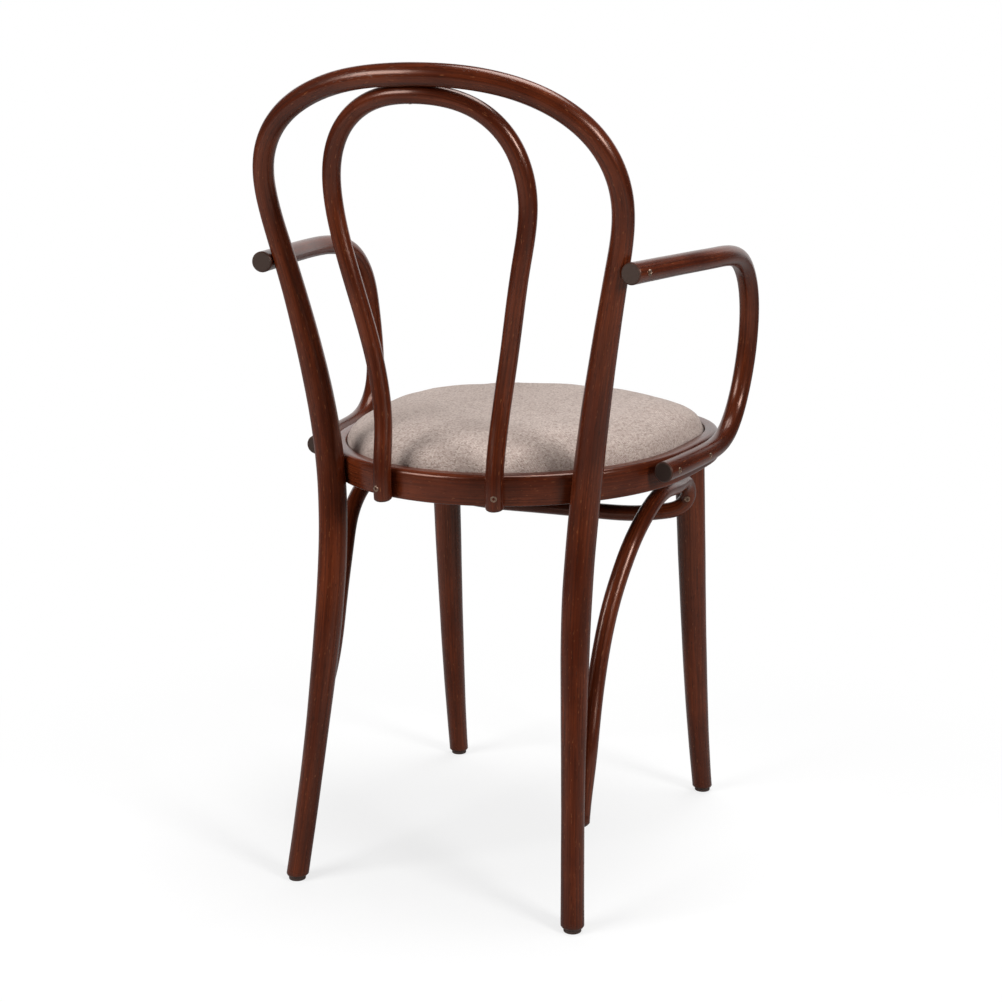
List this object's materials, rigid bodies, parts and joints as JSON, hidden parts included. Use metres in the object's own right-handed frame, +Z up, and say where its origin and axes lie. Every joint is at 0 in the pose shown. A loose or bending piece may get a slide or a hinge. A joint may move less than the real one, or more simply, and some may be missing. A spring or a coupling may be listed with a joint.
{
  "type": "bentwood armchair",
  "caption": "Bentwood armchair with a hoop and hairpin back, looped arms, a padded seat in a bent ring and a curled leg brace.",
  "frame": {"origin": "on the floor under the middle of the chair", "axes": "+Z up; the sitter faces -Y; the sitter's right arm is on the -X side"},
  "size_m": [0.4834, 0.4906, 0.8375],
  "materials": {
    "beech": "semi-gloss dark stain",
    "plywood": "raw",
    "seat_cloth": "woven melange",
    "foam": "raw",
    "dust_cloth": "matt",
    "glide": "matt",
    "steel": "dulled"
  },
  "bodies": {
    "root": {"back_frame": "beech", "hairpin_loop": "beech", "seat_ring": "beech", "right_arm": "beech", "left_arm": "beech", "right_front_leg": "beech", "left_front_leg": "beech", "bridge_brace": "beech", "seat_board": "plywood", "seat_cover": "seat_cloth", "seat_foam": "foam", "dust_cloth": "dust_cloth", "foot_glides": "glide", "glide_nails": "steel", "hairpin_screws": "steel", "arm_hoop_screws": "steel", "arm_seat_screws": "steel", "brace_front_screws": "steel", "brace_rear_screws": "steel", "crest_screw": "steel", "seat_board_screws": "steel", "rear_leg_bolts": "steel", "rear_leg_washers": "steel"}
  },
  "joints": []
}
